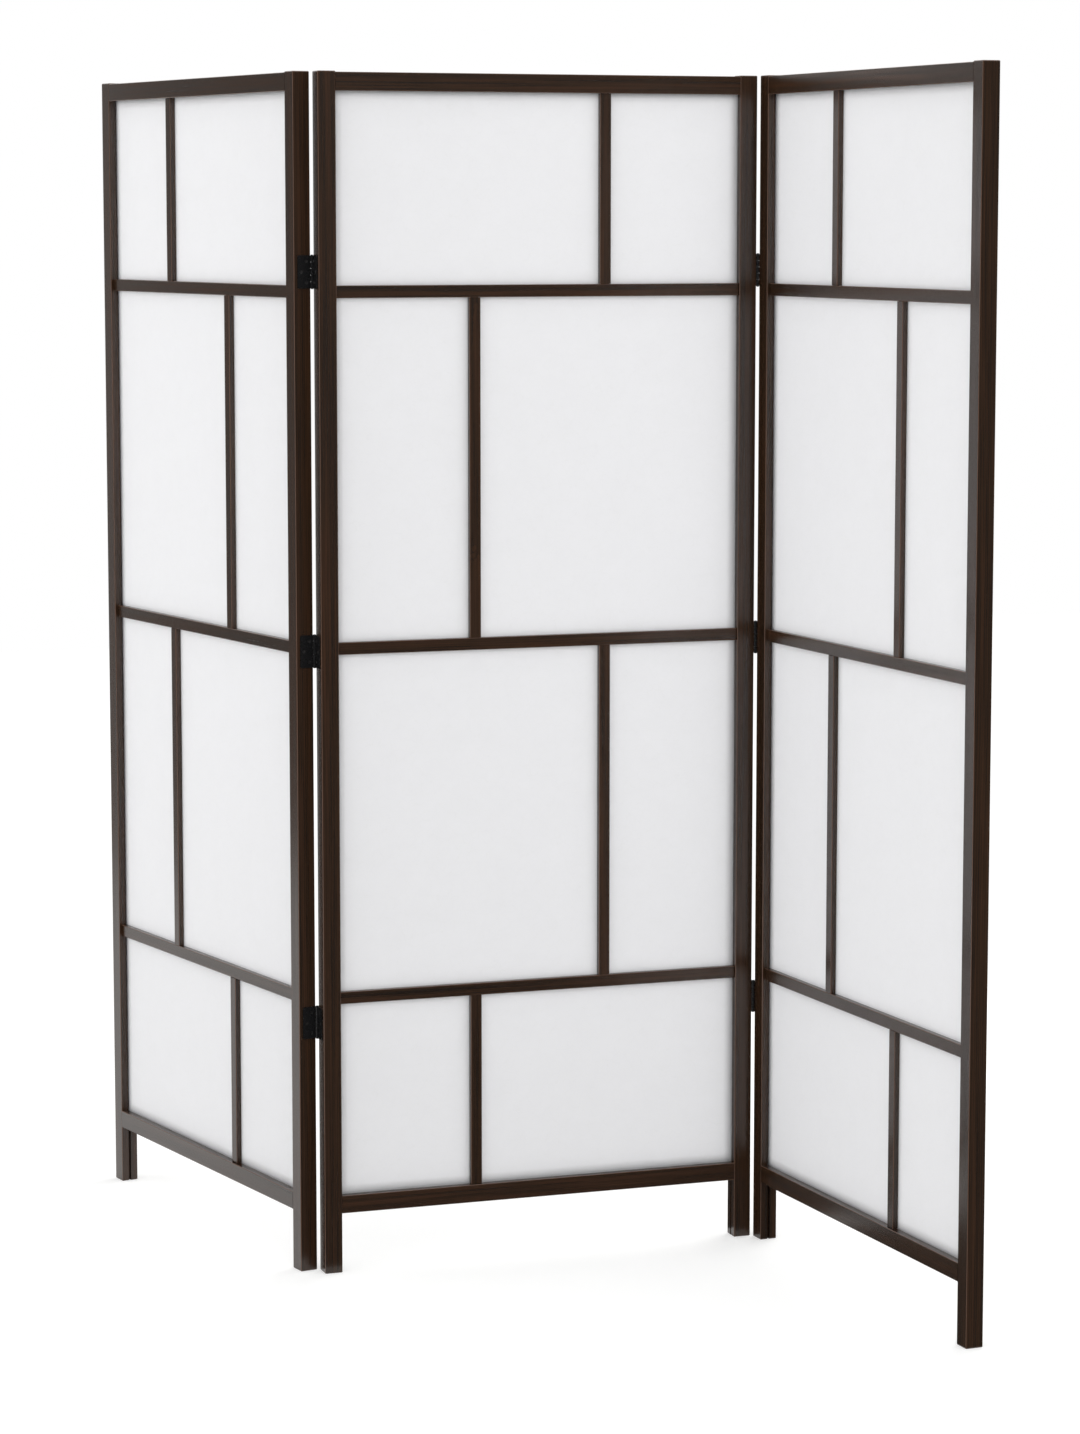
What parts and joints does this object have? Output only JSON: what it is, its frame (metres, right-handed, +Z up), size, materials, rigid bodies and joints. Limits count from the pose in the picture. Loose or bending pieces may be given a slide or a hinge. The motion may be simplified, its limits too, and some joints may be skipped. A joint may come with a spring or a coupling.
{
  "type": "folding screen",
  "caption": "Folding screen of hinged panels, each a dark wooden frame and lattice round a translucent white sheet, standing in a zigzag.",
  "frame": {"origin": "middle of the footprint on the floor, with the screen standing in a zigzag", "axes": "+Z up; +X along the middle panel, from its left end to its right end; -Y out of the middle panel's front"},
  "size_m": [0.9384, 1.4508, 1.85],
  "materials": {
    "stained_wood": "dark brown stain under a satin clear coat",
    "sheet_paper": "matt, white, lets light through",
    "hinge_metal": "black, satin"
  },
  "bodies": {
    "middle_panel": {"middle_panel_left_stile": "stained_wood", "middle_panel_right_stile": "stained_wood", "middle_panel_top_rail": "stained_wood", "middle_panel_bottom_rail": "stained_wood", "middle_panel_sheet": "sheet_paper", "middle_panel_crossbar_1": "stained_wood", "middle_panel_crossbar_2": "stained_wood", "middle_panel_crossbar_3": "stained_wood", "middle_panel_upright_1": "stained_wood", "middle_panel_upright_2": "stained_wood", "middle_panel_upright_3": "stained_wood", "middle_panel_upright_4": "stained_wood", "middle_panel_back_lattice": "stained_wood", "left_hinge_top_two_knuckle_leaf": "hinge_metal", "left_hinge_middle_two_knuckle_leaf": "hinge_metal", "left_hinge_bottom_two_knuckle_leaf": "hinge_metal", "right_hinge_top_two_knuckle_leaf": "hinge_metal", "right_hinge_middle_two_knuckle_leaf": "hinge_metal", "right_hinge_bottom_two_knuckle_leaf": "hinge_metal"},
    "left_panel": {"left_panel_left_stile": "stained_wood", "left_panel_right_stile": "stained_wood", "left_panel_top_rail": "stained_wood", "left_panel_bottom_rail": "stained_wood", "left_panel_sheet": "sheet_paper", "left_panel_crossbar_1": "stained_wood", "left_panel_crossbar_2": "stained_wood", "left_panel_crossbar_3": "stained_wood", "left_panel_upright_1": "stained_wood", "left_panel_upright_2": "stained_wood", "left_panel_upright_3": "stained_wood", "left_panel_upright_4": "stained_wood", "left_panel_back_lattice": "stained_wood", "left_hinge_top_three_knuckle_leaf": "hinge_metal", "left_hinge_top_pin": "hinge_metal", "left_hinge_middle_three_knuckle_leaf": "hinge_metal", "left_hinge_middle_pin": "hinge_metal", "left_hinge_bottom_three_knuckle_leaf": "hinge_metal", "left_hinge_bottom_pin": "hinge_metal"},
    "right_panel": {"right_panel_left_stile": "stained_wood", "right_panel_right_stile": "stained_wood", "right_panel_top_rail": "stained_wood", "right_panel_bottom_rail": "stained_wood", "right_panel_sheet": "sheet_paper", "right_panel_crossbar_1": "stained_wood", "right_panel_crossbar_2": "stained_wood", "right_panel_crossbar_3": "stained_wood", "right_panel_upright_1": "stained_wood", "right_panel_upright_2": "stained_wood", "right_panel_upright_3": "stained_wood", "right_panel_upright_4": "stained_wood", "right_panel_back_lattice": "stained_wood", "right_hinge_top_three_knuckle_leaf": "hinge_metal", "right_hinge_top_pin": "hinge_metal", "right_hinge_middle_three_knuckle_leaf": "hinge_metal", "right_hinge_middle_pin": "hinge_metal", "right_hinge_bottom_three_knuckle_leaf": "hinge_metal", "right_hinge_bottom_pin": "hinge_metal"}
  },
  "joints": [
    {"name": "left_fold", "type": "hinge", "parent": "middle_panel", "child": "left_panel", "pos_m": [-0.31582, 0.02069, 0.97125], "axis": [0, 0, 1], "range_deg": [-100, 80]},
    {"name": "right_fold", "type": "hinge", "parent": "middle_panel", "child": "right_panel", "pos_m": [0.40218, -0.01051, 0.97125], "axis": [0, 0, 1], "range_deg": [-93, 87]}
  ]
}
